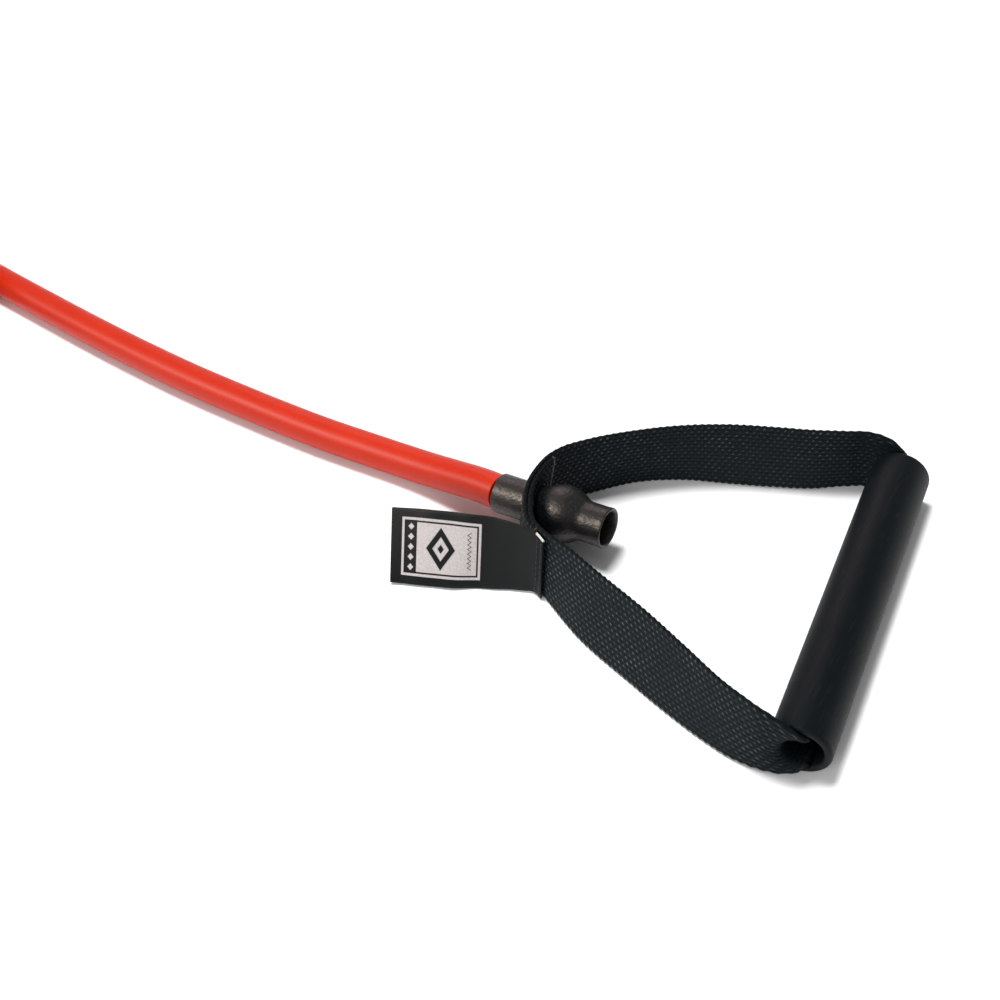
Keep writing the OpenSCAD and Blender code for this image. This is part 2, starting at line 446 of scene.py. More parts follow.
def turned_shape(outline, steps=72):
    """Spins an outline of (along, radius) points about the X axis. A closed outline gives a closed solid."""
    bm = bmesh.new()
    verts = [bm.verts.new((x, 0, r)) for x, r in outline]
    edges = [bm.edges.new((a, b)) for a, b in zip(verts, verts[1:] + verts[:1])]
    bmesh.ops.spin(
        bm, geom=verts + edges, cent=(0, 0, 0), axis=(1, 0, 0), angle=math.tau, steps=steps, use_merge=True
    )
    bmesh.ops.remove_doubles(bm, verts=bm.verts[:], dist=1e-6)
    bmesh.ops.recalc_face_normals(bm, faces=bm.faces[:])
    return bm


def round_corner(middle, radius, first, last, steps=5):
    """Points on an arc of an outline, from the angle first to the angle last."""
    turns = [math.radians(first + (last - first) * k / steps) for k in range(steps + 1)]
    return [(middle[0] + radius * math.cos(a), middle[1] + radius * math.sin(a)) for a in turns]


print("far hole at", tuple(round(v, 4) for v in far_hole))

# %% [markdown]
# ## The rubber sleeve
# The sleeve is a dipped rubber end: a neck that is tight on the tube, a bulge where it stretches
# over the ball, and an open nozzle. It is round all along, so its outline is spun about the axis.
# The bulge blends into the neck with a high power mean of the two radii, which keeps the crease
# soft without a list of points. Small arcs round the rims, and the bore of the nozzle is real.

# %% Sleeve outline
SLEEVE_BACK = -13.5 * MM
MOUTH_X = 29.5 * MM
MOUTH_BORE_R = 5.6 * MM
MOUTH_DEPTH = 7 * MM
SLEEVE_WALL = 0.85 * MM
RIM = 0.4 * MM
BEAD = 0.1 * MM
TUBE_GRIP = 0.05 * MM
PLUG_BORE_R = 1.2 * MM


def swell(x, neck, ball, power=7):
    chord = math.sqrt(max(0.0, ball * ball - (x - BALL_X) ** 2))
    return (neck ** power + chord ** power) ** (1 / power)


def sleeve_outline():
    bulge = [(x * MM, swell(x * MM, SLEEVE_R, BULGE_R)) for x in np.linspace(-1, 24, 51)]
    lining = [(x, swell(x, SLEEVE_R - SLEEVE_WALL, BULGE_R - SLEEVE_WALL)) for x, r in reversed(bulge[4:-4])]
    back = round_corner((SLEEVE_BACK + RIM, SLEEVE_R - RIM), RIM, 180, 90)
    bead = [(26 * MM, SLEEVE_R), (MOUTH_X - 2 * MM, SLEEVE_R), (MOUTH_X - 1.2 * MM, SLEEVE_R + BEAD)]
    lip = round_corner((MOUTH_X - RIM, SLEEVE_R + BEAD - RIM), RIM, 90, 0)
    flare = [(MOUTH_X - 0.2 * MM, MOUTH_BORE_R + 0.7 * MM), (MOUTH_X - 0.9 * MM, MOUTH_BORE_R + 0.3 * MM)]
    bore = [(MOUTH_X - 2.5 * MM, MOUTH_BORE_R)]
    floor_x = MOUTH_X - MOUTH_DEPTH
    floor_of_bore = round_corner((floor_x + 1 * MM, MOUTH_BORE_R - 1 * MM), 1 * MM, 90, 180)
    heel = [(floor_x, PLUG_BORE_R), (floor_x - 1 * MM, PLUG_BORE_R)]
    tube_hole_r = TUBE_R - TUBE_GRIP
    return (
        [(SLEEVE_BACK, tube_hole_r)] + back + bulge + bead + lip + flare + bore + floor_of_bore + heel
        + lining + [(0, tube_hole_r)]
    )


print("sleeve outline:", len(sleeve_outline()), "points")

# %% [markdown]
# The rubber is dark and matt with a faint bloom where it was handled. The bloom is low noise in
# the gloss and the colour, a fine grain sits in the bump, and the grain sets brownish painted highlight
# specks.

# %% Sleeve rubber
def sleeve_rubber():
    finish = Finish("sleeve_rubber", IOR=1.5, Specular_IOR_Level=0.6, Specular_Tint=(1.0, 0.9, 0.84, 1))
    bloom = finish.noise(0.006, 3)
    grain = finish.noise(0.0009, 3)
    black = finish.mix(bloom, colour(3, 10, 14), colour(11, 16, 19))
    # Painted highlight: small brownish specks on the grain stand for the mottled gloss of the rubber.
    black = finish.mix(grain.below(0.44, 0.06) * 0.22, black, colour(62, 56, 53))
    return finish.feed(
        Base_Color=black, Roughness=0.22 + grain * 0.3 + bloom * 0.12,
        Normal=finish.bump(grain * 1.4 + bloom * 2, 0.00018, 0.7),
    )


SLEEVE_RUBBER = sleeve_rubber()


def make_sleeve(side):
    bm = turned_shape(sleeve_outline())
    bmesh.ops.transform(bm, matrix=EYE_PLACE[side] @ Matrix.Translation((0, 0, AXIS_Z)), verts=bm.verts[:])
    piece = piece_from(bm, f"{side}_rubber_sleeve", SLEEVE_RUBBER)
    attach(piece, "tube")
    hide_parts(f"{side}_sleeve")
    return piece


for side in EYE_PLACE:
    print(make_sleeve(side).name, "made")

# %% [markdown]
# ## The webbing loop
# Webbing is woven flat and then bent, and the model is made in the same order. A flat grid is cut
# to length, a round hole is punched near each end, the sheet is given its thickness, and the woven
# cells are raised on both faces. Then every point is laid along the strap's route. The route's
# knots give the middle line, how far the lower edge stands out, how far the strap is curled
# lengthwise, and the height of its middle, so that it can fold round the rim into the grip.

# %% Route of the strap
CURL_R = 6.2 * MM
HOLE_R = 7.4 * MM

# Each knot is (x, y, how far the lower edge stands out, share of the full curl, height of the
# middle line), with its lengths in millimetres.
UPPER_HALF = [
    (10.6, -25.0, 2.0, 0, 12.7), (6.0, -21.2, 1.9, 0, 12.7), (1.3, -13.3, 2.0, 0, 12.7),
    (-0.96, -6.4, 2.0, 0, 12.7), (-1.85, 0, 2.0, 0, 12.7),
    (-1.35, 6.1, 1.8, 0, 12.7), (0.9, 12.9, 1.0, 0, 12.7), (4.6, 18, 0.4, 0, 12.7),
    (11.2, 23.8, 0.3, 0, 12.7), (26, 34, 0.9, 0, 12.7), (40, 40.2, 0.2, 0, 12.7),
    (57, 44.6, -1.1, 0, 12.7), (72, 47.6, -1.2, 0, 12.7), (86, 50.6, -0.7, 0, 12.7),
    (95.5, 54.0, 0.2, 0.05, 12.7), (101.5, 56.3, 0.2, 0.2, 12.4), (105.4, 56.8, 0, 0.45, 11.5),
    (107.6, 56.4, 0, 0.8, 10.3), (108.6, 55.3, 0, 0.97, 10), (108.8, 53.5, 0, 1, 10),
    (108.8, 44, 0, 1, 10), (108.8, 20, 0, 1, 10),
]
LOWER_HALF = [
    (108.8, -9, 0, 1, 10), (108.8, -38, 0, 1, 10), (108.8, -62, 0, 1, 10), (108.8, -71.5, 0, 1, 10),
    (108.6, -73.3, 0, 0.97, 10), (107.6, -74.4, 0, 0.8, 10.3), (105.4, -74.9, 0.3, 0.45, 11.5),
    (101.5, -74.5, 1.0, 0.18, 12.5), (95.5, -72.4, 2.0, 0.04, 12.7), (88, -69.0, 2.6, 0, 12.7),
    (73, -60.8, 3.8, 0, 12.7), (57, -51.5, 4.5, 0, 12.7), (35, -39.1, 4.4, 0, 12.7),
    (21.6, -30.2, 3.2, 0, 12.7), (13.6, -25.2, 2.0, 0, 12.7), (7.4, -20.2, 1.8, 0, 12.7),
    (3, -12.6, 2.0, 0, 12.7), (0.9, -6, 2.0, 0, 12.7), (0, 0, 2.0, 0, 12.7),
    (0.45, 5, 1.8, 0, 12.7), (1.5, 9.3, 1.4, 0, 12.7), (2.9, 12.2, 1.1, 0, 12.7),
]


def smooth_line(knots, steps=16):
    """A smooth line through rows of numbers, spaced by the distance between their first two."""
    rows = np.array(knots, float)
    gaps = np.linalg.norm(np.diff(rows[:, :2], axis=0), axis=1)[:, None]
    slopes = np.diff(rows, axis=0) / gaps
    middle = (slopes[:-1] * gaps[1:] + slopes[1:] * gaps[:-1]) / (gaps[:-1] + gaps[1:])
    slopes = np.vstack([slopes[:1], middle, slopes[-1:]])
    t = np.linspace(0, 1, steps, endpoint=False)[:, None]
    spans = [
        (2 * t ** 3 - 3 * t ** 2 + 1) * a + (t ** 3 - 2 * t ** 2 + t) * gap * sa
        + (3 * t ** 2 - 2 * t ** 3) * b + (t ** 3 - t ** 2) * gap * sb
        for a, b, gap, sa, sb in zip(rows, rows[1:], gaps, slopes, slopes[1:])
    ]
    return np.vstack(spans + [rows[-1:]])


class Route:
    """Lays flat points (along, across, out) on a strap that follows the knots."""

    def __init__(self, knots):
        self.rows = smooth_line(knots) * [MM, MM, MM, 1, MM]
        steps = np.linalg.norm(np.diff(self.rows[:, :2], axis=0), axis=1)
        self.along = np.concatenate([[0], np.cumsum(steps)])
        self.length = self.along[-1]
        heading = np.gradient(self.rows[:, :2], self.along, axis=0)
        self.left = np.stack([-heading[:, 1], heading[:, 0]], 1)
        self.left /= np.linalg.norm(self.left, axis=1)[:, None]

    def column(self, values, s):
        return np.interp(s, self.along, values)

    def skin(self, s, w):
        """The middle surface: curled about a line ahead of it, and with its lower edge standing out."""
        x, y, flare, curl, height = (self.column(c, s) for c in self.rows.T)
        bend = np.maximum(curl, 0.001) / CURL_R
        lean = -flare * w / (STRAP_W / 2)
        x = x + (1 - np.cos(bend * w)) / bend + lean * self.column(self.left[:, 0], s)
        y = y + lean * self.column(self.left[:, 1], s)
        return np.stack([x, y, height + np.sin(bend * w) / bend], 1)

    def lay(self, flat):
        s, w, out = flat.T
        step = 0.2 * MM
        along = self.skin(s + step, w) - self.skin(s - step, w)
        across = self.skin(s, w + step) - self.skin(s, w - step)
        normal = np.cross(along, across)
        normal /= np.maximum(np.linalg.norm(normal, axis=1), 1e-12)[:, None]
        return self.skin(s, w) + normal * out[:, None]

    def where(self, hole_x, hole_y):
        """How far along the route the strap passes nearest a point."""
        return self.along[np.argmin(np.hypot(self.rows[:, 0] - hole_x * MM, self.rows[:, 1] - hole_y * MM))]


strap_route = Route(UPPER_HALF + LOWER_HALF)
print("strap length", round(strap_route.length, 4), "m")

# %% [markdown]
# The weave stands up as rows of small crowns. Sixteen ribs run along the strap, and neighbouring ribs
# are half a cell out of step. The same cell sizes are used for the shape and for the finish, so the
# painted highlight specks of the yarn sit on the crowns. The selvedge is thinner and scalloped by the weft.

# %% Weaving
RIBS = 16
RIB = STRAP_W / RIBS
CELL = 2.4 * MM
CROWN = 0.25 * MM
SCALLOP = 0.2 * MM
SELVEDGE = 1.1 * MM
SELVEDGE_SHARE = 0.55
MELT = 0.5 * MM
SLANT = 5.5 * MM
SLANT_OVER = 6.7 * MM


def weave(s, w):
    """Height of the woven surface at each flat point, from 0 in the gaps to 1 on a crown."""
    rib = np.floor(w / RIB + RIBS / 2)
    along = np.abs(np.cos(np.pi * (s / CELL + 0.5 * rib)))
    across = np.abs(np.sin(np.pi * (w / RIB + RIBS / 2)))
    return along ** 0.8 * across ** 0.6


def punch(bm, middle, radius):
    """Cuts a round hole in a flat grid, and pulls the ring of points around it onto the circle."""
    inside = [v for v in bm.verts if math.hypot(v.co.x - middle, v.co.y) < radius]
    ring = {e.other_vert(v) for v in inside for e in v.link_edges} - set(inside)
    bmesh.ops.delete(bm, geom=inside, context="VERTS")
    for v in ring:
        away = Vector((v.co.x - middle, v.co.y, 0))
        v.co = Vector((middle, 0, 0)) + away.normalized() * radius


def flat_strap(length, holes):
    rows = round(length / CELL * 4)
    bm = bmesh.new()
    bmesh.ops.create_grid(bm, x_segments=rows, y_segments=RIBS * 4, size=0.5)
    bmesh.ops.scale(bm, vec=(length, STRAP_W, 1), verts=bm.verts[:])
    bmesh.ops.translate(bm, vec=(length / 2, 0, 0), verts=bm.verts[:])
    for middle in holes:
        punch(bm, middle, HOLE_R)
    bmesh.ops.solidify(bm, geom=bm.faces[:], thickness=STRAP_T)
    bmesh.ops.recalc_face_normals(bm, faces=bm.faces[:])
    return bm


print("rows of cells along the strap:", round(strap_route.length / CELL))

# %% [markdown]
# A mesh that holds thousands of points is changed with arrays, all points at once. The flat places
# are kept as a UV map before the sheet is bent. Each face is moved out by half the thickness and by
# the weave's height, the inner end is cut aslant, and the melted cuts get a finish of their own.

# %% From the flat sheet to the woven one
def points_of(mesh):
    co = np.zeros(len(mesh.vertices) * 3)
    mesh.vertices.foreach_get("co", co)
    return co.reshape(-1, 3)


def set_points(mesh, co):
    mesh.vertices.foreach_set("co", np.asarray(co, np.float32).ravel())
    mesh.update()


def keep_flat_map(mesh, co):
    """Stores each point's place on the flat piece as a UV map in metres, for the finish to read."""
    corners = np.zeros(len(mesh.loops), np.int32)
    mesh.loops.foreach_get("vertex_index", corners)
    layer = mesh.uv_layers.new(name="flat")
    layer.data.foreach_set("uv", co[corners, :2].astype(np.float32).ravel())


def raise_weave(co):
    """Turns the two plain faces of a flat strap into woven ones with thin scalloped edges."""
    s, w, out = co.T
    face = np.where(out > out.mean(), 1.0, -1.0)
    edge = np.clip((STRAP_W / 2 - np.abs(w)) / SELVEDGE, 0, 1)
    thickness = STRAP_T * (SELVEDGE_SHARE + (1 - SELVEDGE_SHARE) * np.sqrt(edge))
    half = thickness / 2 + CROWN * (weave(s, w) - 0.5)
    scallop = SCALLOP * np.cos(2 * np.pi * s / CELL) * (np.abs(w) / (STRAP_W / 2)) ** 12
    return np.stack([s, w + np.sign(w) * scallop, face * half], 1)


def cut_aslant(flat):
    """Draws the lower corner of the strap's inner end back towards the hole."""
    s, w = flat[:, 0], flat[:, 1]
    share = np.clip((s - strap_route.length) / SLANT_OVER + 1, 0, 1)
    flat[:, 0] = s - SLANT * (0.5 - w / STRAP_W) * share
    return flat


def seal_cuts(mesh, co, length, holes):
    """Gives the heat-cut ends and holes of the strap, and a thin line along them, the second finish."""
    for face in mesh.polygons:
        s, w = co[list(face.vertices), :2].mean(axis=0)
        at_end = min(s, length - s) < MELT
        at_hole = min(math.hypot(s - middle, w) for middle in holes) < HOLE_R + MELT
        face.material_index = int(at_end or at_hole)


OUTER_HOLE, INNER_HOLE = strap_route.where(-1.85, 0), strap_route.where(0, 0)
IN_GRIP_FROM, IN_GRIP_TO = strap_route.where(106.5, 56.6), strap_route.where(106.5, -74.7)
IN_GRIP_MIDDLE = (IN_GRIP_FROM + IN_GRIP_TO) / 2
IN_GRIP_HALF = (IN_GRIP_TO - IN_GRIP_FROM) / 2
print("strap inside the grip:", round(IN_GRIP_HALF * 2, 4), "m")

# %% [markdown]
# The yarn is black with a cold cast. On each crown a short slanted speck of painted highlight stands
# for the filaments catching the light, spread in patches by two noises, and the gaps between the ribs get
# painted shade. The finish reads the flat map, so the pattern follows the strap through every bend. Inside
# the grip the painted highlight is left out, as no light reaches there. The cut ends and the rims of the
# holes are melted, and show as a thin tan line.

# %% Webbing finish
def webbing_yarn():
    finish = Finish("webbing_yarn", IOR=1.5, Specular_IOR_Level=0.2, Specular_Tint=(0.8, 0.95, 1.0, 1))
    s, w = finish.flat()
    across = w / RIB + RIBS / 2
    rib = across.floor()
    a = (s / CELL + rib * 0.5).fract() - 0.5
    b = across.fract() - 0.5
    beside_slant = abs(a * 0.85 - b * 0.75)
    along_slant = abs(a * 0.9 + b * 0.6)
    speck = beside_slant.below(0.13, 0.1) * along_slant.below(0.24, 0.16)
    glint_mottle = finish.noise(0.003, 3, rough=0.7)
    glint_patches = finish.noise(0.022, 2)
    # Painted shade: inside the grip the painted highlight specks are left out, as no light reaches the bore.
    in_grip = abs(s - IN_GRIP_MIDDLE).below(IN_GRIP_HALF, 4 * MM)
    filaments = ((a * 0.5 - b) * 44).sine()
    rise = abs(b).below(0.36, 0.12)
    dust = finish.noise(0.0005, 2)
    # Painted shade: the gaps between the ribs are darker than the rib tops.
    black = finish.mix(rise, colour(1, 3, 5), colour(3, 10, 14))
    lit = (glint_mottle * 3.4 - 1.2).most(0.0) * (glint_patches * 2.2 - 0.5).most(0.15) * (1 - in_grip)
    # Painted highlight: a light grey speck on each crown stands for the filaments catching the light.
    black = finish.mix(speck * lit, black, colour(92, 99, 103))
    black = finish.mix(dust.below(0.4, 0.06) * 0.1, black, colour(70, 74, 78))
    return finish.feed(
        Base_Color=black, Roughness=0.72 - speck * 0.3,
        Normal=finish.bump(filaments * 0.2 + speck * 0.6 + rise, 0.00016, 0.8),
    )


def melted_edge():
    finish = Finish("melted_webbing_edge", IOR=1.5)
    drips = finish.noise(0.0015, 2)
    tan = finish.mix(drips, colour(14, 14, 14), colour(84, 71, 60))
    return finish.feed(Base_Color=tan, Roughness=0.25 + drips * 0.2, Normal=finish.bump(drips, 0.0003))


WEBBING = webbing_yarn()
MELTED = melted_edge()
print("webbing finishes:", WEBBING.name, MELTED.name)

# %% [markdown]
# One flat strap is made for each side, laid along the route, and turned into its place. The eye at
# the hole only swivels, and the loop in front of it also swings.

# %% Make the straps
WEBBING_NODES = ("end_outer", "end_inner", "upper_leg", "lower_leg", "in_grip")


def make_strap(side):
    length = strap_route.length
    holes = (OUTER_HOLE, INNER_HOLE)
    bm = flat_strap(length, holes)
    piece = piece_from(bm, f"{side}_webbing_loop", WEBBING, MELTED, sharp=60)
    mesh = piece.data
    flat = points_of(mesh)
    keep_flat_map(mesh, flat)
    seal_cuts(mesh, flat, length, holes)
    set_points(mesh, strap_route.lay(cut_aslant(raise_weave(flat))))
    mesh.transform(LOOP_PLACE[side])
    return piece


def join_at_eye(piece):
    """Bakes a piece's place into its mesh."""
    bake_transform(piece)


for side in LOOP_PLACE:
    strap = make_strap(side)
    join_at_eye(strap)
    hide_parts(*[f"{side}_webbing_{part}" for part in WEBBING_NODES])
    print(strap.name, len(strap.data.polygons), "faces")

# %% [markdown]
# ## The hand grip
# The grip is a thick plastic tube with rounded rims that the webbing runs through. Its section is
# one closed outline with an arc at each of the four corners, spun about the axis, so the bore and
# both rims are real and can be seen into.

# %% Grip
OUTER_ROUND = 1.6 * MM
BORE_ROUND = 0.9 * MM
RUB_GRAIN = (2400, 60, 2400)


def grip_outline():
    half = GRIP_LEN / 2
    corners = [
        ((half - OUTER_ROUND, GRIP_R - OUTER_ROUND), OUTER_ROUND, 90, 0),
        ((half - BORE_ROUND, BORE_R + BORE_ROUND), BORE_ROUND, 0, -90),
        ((BORE_ROUND - half, BORE_R + BORE_ROUND), BORE_ROUND, -90, -180),
        ((OUTER_ROUND - half, GRIP_R - OUTER_ROUND), OUTER_ROUND, 180, 90),
    ]
    return [point for corner in corners for point in round_corner(*corner, steps=6)]


def grip_plastic():
    finish = Finish("grip_plastic", IOR=1.48, Specular_IOR_Level=0.2, Specular_Tint=(1.0, 0.88, 0.86, 1))
    drift = finish.noise(0.02, 2)
    grain = finish.noise(0.0005, 2)
    drawn_out = finish.node("ShaderNodeMapping", None, {"Vector": finish.place(), "Scale": RUB_GRAIN})
    rubs = finish.noise(1, 2, where=drawn_out)
    black = finish.mix(drift, colour(2, 9, 13), colour(5, 13, 17))
    black = finish.mix(rubs.below(0.36, 0.04) * 0.2, black, colour(44, 43, 45))
    return finish.feed(
        Base_Color=black, Roughness=0.48 + grain * 0.14 + drift * 0.06,
        Normal=finish.bump(grain + rubs * 0.4, 0.00005, 0.5),
    )


GRIP_PLASTIC = grip_plastic()


def make_grip(side):
    bm = turned_shape(grip_outline(), steps=96)
    along_y = Matrix.Rotation(math.pi / 2, 4, "Z")
    place = LOOP_PLACE[side] @ Matrix.Translation(GRIP_MIDDLE) @ along_y
    bmesh.ops.transform(bm, matrix=place, verts=bm.verts[:])
    piece = piece_from(bm, f"{side}_hand_grip", GRIP_PLASTIC)
    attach(piece, f"{side}_grip")
    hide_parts(f"{side}_grip")
    return piece


for side in LOOP_PLACE:
    print(make_grip(side).name, "made")

# %% [markdown]
# ## The ribbon label
# The label is a short satin ribbon, doubled, whose hem is sewn on the outside of the lower leg. It
# is cut flat like the strap, and then stretched between two rails, one under each edge. The rails
# are a few points each, so the ribbon can lie along the leg at its hem, bend away, and lean back.

# %% Ribbon
LABEL_W = 25.6 * MM
LABEL_T = 0.8 * MM
HEM = 4 * MM
LABEL_CELLS = (110, 44)
# Each wave is (height, turns along, turns across, start).
SLACK_WAVES = [(0.5 * MM, 190, 0, 0.6), (0.25 * MM, 420, 90, 0)]
# The rails are points in millimetres.
LOWER_RAIL = [
    (18.2, -28.6, 0.3), (14.6, -26.9, 0.3), (9.6, -28.4, 0.3), (-3, -33.8, 0.3),
    (-17.5, -39.6, 0.4), (-32.6, -44.8, 0.8),
]
UPPER_RAIL = [
    (19.4, -24.9, 24.9), (15.6, -22.8, 25.2), (10, -22.0, 25.3), (-5, -23.4, 24.9),
    (-22, -25.6, 22.8), (-39.2, -28.6, 20),
]


class Ribbon:
    """Lays flat points (along, across, out) on the surface between the two rails."""

    def __init__(self):
        self.rails = [smooth_line(rail) * MM for rail in (LOWER_RAIL, UPPER_RAIL)]
        spans = [np.linalg.norm(np.diff(rail, axis=0), axis=1).sum() for rail in self.rails]
        self.length = sum(spans) / 2

    def skin(self, u, v):
        edges = []
        for rail in self.rails:
            steps = np.linalg.norm(np.diff(rail, axis=0), axis=1)
            share = np.concatenate([[0], np.cumsum(steps)]) / steps.sum()
            edges.append(np.stack([np.interp(u / self.length, share, c) for c in rail.T], 1))
        across = (v / LABEL_W)[:, None]
        return edges[0] * (1 - across) + edges[1] * across

    def lay(self, flat):
        u, v, out = flat.T
        step = 0.3 * MM
        along = self.skin(u + step, v) - self.skin(u - step, v)
        normal = np.cross(self.skin(u, v + step) - self.skin(u, v - step), along)
        normal /= np.linalg.norm(normal, axis=1)[:, None]
        slack = np.sin(np.pi * np.clip(u / self.length, 0, 1))
        waves = [height * np.sin(u * a + v * b + start) for height, a, b, start in SLACK_WAVES]
        return self.skin(u, v) + normal * (out + slack * sum(waves))[:, None]


ribbon = Ribbon()
print("ribbon length", round(ribbon.length, 4), "m")

# %% [markdown]
# The print on the ribbon is woven in: a silver ground with a light border, a dark inner line and a
# dark band at the free end. The marks are plain geometry, a rhombus and a row of small ones, and
# they are drawn with distances on the flat map. A fine twill shows in the bump.

# %% Print on the ribbon
# The print's places are in millimetres: u from the ribbon's free end, v from its lower edge.
PATCH_U, PATCH_HALF_U = 18.5, 14.5
PATCH_V, PATCH_HALF_V = 12.8, 9.8
LINE_IN, LINE_OUT = 0.9, 1.5
BAND_TO = 9.6
GEM_U, GEM_HALF_U, GEM_HALF_V = 18.6, 5.4, 7.2
GEM_RING, GEM_DOT = 0.56, 0.22
STUD_U, STUD_PITCH, STUD_SIZE, STUD_ROW = 7.4, 3.4, 1.15, 8.2
ZIGZAG_U, ZIGZAG_PITCH, ZIGZAG_WIDE, ZIGZAG_ROW = 28.4, 1.6, 2.4, 6.5
PRINT_EDGE = 0.12
HEM_TOP_LINE_V = 24.9
TO_MM = 1000


def silver_print(u, v):
    """1 where the silver shows, and 0 on the black marks and outside the patch."""
    from_middle = abs(v - PATCH_V)
    border = (abs(u - PATCH_U) - PATCH_HALF_U).most(from_middle - PATCH_HALF_V)
    patch = border.below(0, PRINT_EDGE)
    inside = border.below(-LINE_IN, PRINT_EDGE)
    line = inside - border.below(-LINE_OUT, PRINT_EDGE)
    band = inside * u.below(BAND_TO, PRINT_EDGE)
    gem = abs(u - GEM_U) / GEM_HALF_U + from_middle / GEM_HALF_V
    ring = gem.below(1, 0.04) - gem.below(GEM_RING, 0.04) + gem.below(GEM_DOT, 0.04)
    row = ((v - PATCH_V) / STUD_PITCH + 0.5).fract() - 0.5
    stud = (abs(u - STUD_U) + abs(row * STUD_PITCH)).below(STUD_SIZE, 0.14)
    studs = stud * from_middle.below(STUD_ROW, 0.1)
    tooth = abs((v / ZIGZAG_PITCH).fract() - 0.5) * ZIGZAG_WIDE
    zigzag = abs(u - ZIGZAG_U - tooth).below(0.2, 0.14) * from_middle.below(ZIGZAG_ROW, 0.1)
    dark = (line + band + ring + zigzag).least(1)
    return (patch * (1 - dark) + studs * band).least(1)


print("the print covers", PATCH_HALF_U * 2, "x", PATCH_HALF_V * 2, "mm")

# %% [markdown]
# The silver and the black are both satin, with specks where one yarn crosses the other. The hem's
# upper edge gets a thin pale line.

# %% Satin ribbon finish
def satin_ribbon(length):
    finish = Finish("satin_ribbon", IOR=1.5, Specular_IOR_Level=0.2, Specular_Tint=(1.0, 0.93, 0.9, 1))
    s, w = finish.flat()
    u = (length - s) * TO_MM
    v = w * TO_MM
    silver = silver_print(u, v)
    weave_dots = finish.noise(0.0006, 3, rough=0.7)
    twill = ((u + v) * 14).sine()
    handled = finish.noise(0.01, 2)
    black = finish.mix(handled, colour(3, 9, 11), colour(9, 16, 18))
    ground = finish.mix(weave_dots, colour(140, 134, 134), colour(214, 206, 204))
    base = finish.mix(silver, black, ground)
    at_hem = 1 - u.below((length - HEM) * TO_MM - 0.2, 0.2)
    # A thin pale line along the hem's upper edge.
    hem_top_line = at_hem * (1 - v.below(HEM_TOP_LINE_V, 0.1))
    base = finish.mix(hem_top_line, base, colour(205, 200, 196))
    return finish.feed(
        Base_Color=base, Roughness=0.42 + handled * 0.12 + silver * 0.12,
        Normal=finish.bump(twill * 0.25 + silver * 1.4 + weave_dots * 0.4, 0.00008, 0.7),
    )


def flat_sheet(length, width, thickness, cells):
    bm = bmesh.new()
    bmesh.ops.create_grid(bm, x_segments=cells[0], y_segments=cells[1], size=0.5)
    bmesh.ops.scale(bm, vec=(length, width, 1), verts=bm.verts[:])
    bmesh.ops.translate(bm, vec=(length / 2, width / 2, 0), verts=bm.verts[:])
    bmesh.ops.solidify(bm, geom=bm.faces[:], thickness=thickness)
    bmesh.ops.recalc_face_normals(bm, faces=bm.faces[:])
    return bm


SATIN = satin_ribbon(ribbon.length)
print("ribbon finish:", SATIN.name)

# %% [markdown]
# The doubled ribbon is one flat sheet with its own thickness, thinned at both long edges where the
# fold is pressed.

# %% Make the label
EDGE_THINNED, EDGE_ROUND = 0.75, 0.8 * MM


def join_at_seam(piece):
    """Bakes a piece's place into its mesh."""
    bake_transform(piece)


def make_label():
    bm = flat_sheet(ribbon.length, LABEL_W, LABEL_T, LABEL_CELLS)
    piece = piece_from(bm, "ribbon_label", SATIN, sharp=50)
    flat = points_of(piece.data)
    keep_flat_map(piece.data, flat)
    flat[:, 2] -= flat[:, 2].mean()
    from_edge = np.minimum(flat[:, 1], LABEL_W - flat[:, 1])
    flat[:, 2] *= 1 - EDGE_THINNED * np.clip(1 - from_edge / EDGE_ROUND, 0, 1) ** 2
    set_points(piece.data, ribbon.lay(flat))
    join_at_seam(piece)
    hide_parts("label_ribbon")
    return piece


label = make_label()
print("label", [round(v, 4) for v in label.dimensions])

# %% [markdown]
# ## Threads
# A stitch is a short loaf of thread that is sunk at both ends. One small sphere is stretched and
# bent for each, and rows of them are laid with the same rules as the cloth they sit on: two rows on
# the label's hem, and dense zigzag bar tacks that hold the webbing's two layers together.

# %% Stitches
def thread_finish():
    finish = Finish("sewing_thread", IOR=1.5, Specular_IOR_Level=0.4)
    lint = finish.noise(0.0008, 3)
    grey = finish.mix(lint, colour(22, 26, 29), colour(64, 64, 66))
    return finish.feed(Base_Color=grey, Roughness=0.55 + lint * 0.2, Normal=finish.bump(lint, 0.0001))


THREAD = thread_finish()
THREAD_R = 0.22 * MM
THREAD_RISE = 0.04 * MM
HEM_PITCH, HEM_GAP = 2.3 * MM, 0.35 * MM
HEM_ROWS = (0.9 * MM, HEM - 0.7 * MM)
TACK_PITCH, TACK_REACH, TACK_COUNT = 0.62 * MM, 0.9 * MM, 30
TACK_BACK, TACK_FRONT = 9.3 * MM, 8.1 * MM


def add_stitch(bm, start, end):
    """A bowed loaf of thread between two flat points."""
    start, end = Vector((*start, 0)), Vector((*end, 0))
    turn = (end - start).to_track_quat("X", "Z").to_matrix().to_4x4()
    size = Matrix.Diagonal(((end - start).length / 2, THREAD_R, THREAD_R, 1))
    place = Matrix.Translation((start + end) / 2) @ turn @ size
    bmesh.ops.create_uvsphere(bm, u_segments=8, v_segments=6, radius=1, matrix=place)


def sewn(name, stitches, lay, lift):
    bm = bmesh.new()
    for start, end in stitches:
        add_stitch(bm, start, end)
    piece = piece_from(bm, name, THREAD, sharp=80)
    flat = points_of(piece.data)
    flat[:, 2] += lift
    set_points(piece.data, lay(flat))
    return piece


def hem_stitches():
    starts = np.arange(1 * MM, LABEL_W - HEM_PITCH, HEM_PITCH)
    return [((u, v), (u, v + HEM_PITCH - HEM_GAP)) for u in HEM_ROWS for v in starts]


